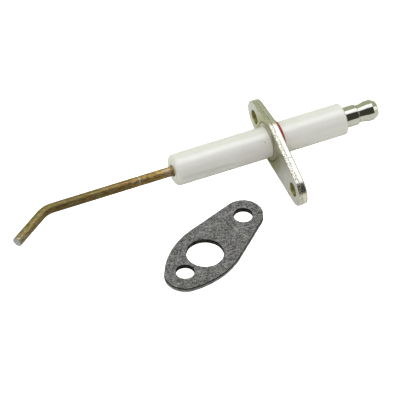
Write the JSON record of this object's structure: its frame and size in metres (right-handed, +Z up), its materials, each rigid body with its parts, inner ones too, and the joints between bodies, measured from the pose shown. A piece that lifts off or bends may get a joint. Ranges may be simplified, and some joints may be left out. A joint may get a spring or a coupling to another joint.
{
  "type": "flame sensor probe",
  "caption": "Flame sensing rod, bent near its tip, in a white ceramic insulator with a teardrop flange, a push-on terminal and a loose flange gasket.",
  "frame": {"origin": "centre of the flange's mounting face, on the probe's axis, where the burner plate's face lies", "axes": "+X along the axis from the flame to the terminal, +Z up with the flange's long lower edge level, -Y towards the flange's long lobe"},
  "size_m": [0.1233, 0.0573, 0.016],
  "materials": {
    "rod": "satin, heat tinted",
    "ceramic": "smooth",
    "cement": "matte",
    "flange": "satin, zinc plated",
    "ring": "satin",
    "seal": "matte",
    "terminal": "polished, nickel plated",
    "facing": "matte",
    "core": "satin"
  },
  "bodies": {
    "probe": {"flame_rod": "rod", "insulator": "ceramic", "front_cement": "cement", "rear_cement": "cement", "flange_plate": "flange", "clamp_ring": "ring", "seal_ring": "seal"},
    "washer": {"terminal_washer": "ring"},
    "terminal": {"terminal_nut": "terminal"},
    "gasket": {"gasket_lower_facing": "facing", "gasket_core": "core", "gasket_upper_facing": "facing"}
  },
  "joints": [
    {"name": "terminal_back_off", "type": "slide", "parent": "probe", "child": "washer", "axis": [1, 0, 0], "range_m": [0, 0.008]},
    {"name": "terminal_turn", "type": "hinge", "parent": "washer", "child": "terminal", "pos_m": [0.03, 0, 0], "axis": [1, 0, 0], "range_deg": [0, 5765]},
    {"name": "gasket_lift", "type": "slide", "parent": "probe", "child": "gasket", "axis": [0, 0, 1], "range_m": [0, 0.04]}
  ],
  "couplings": [
    {"joint": "terminal_turn", "follows": "terminal_back_off", "rad_per_m": 12566}
  ]
}
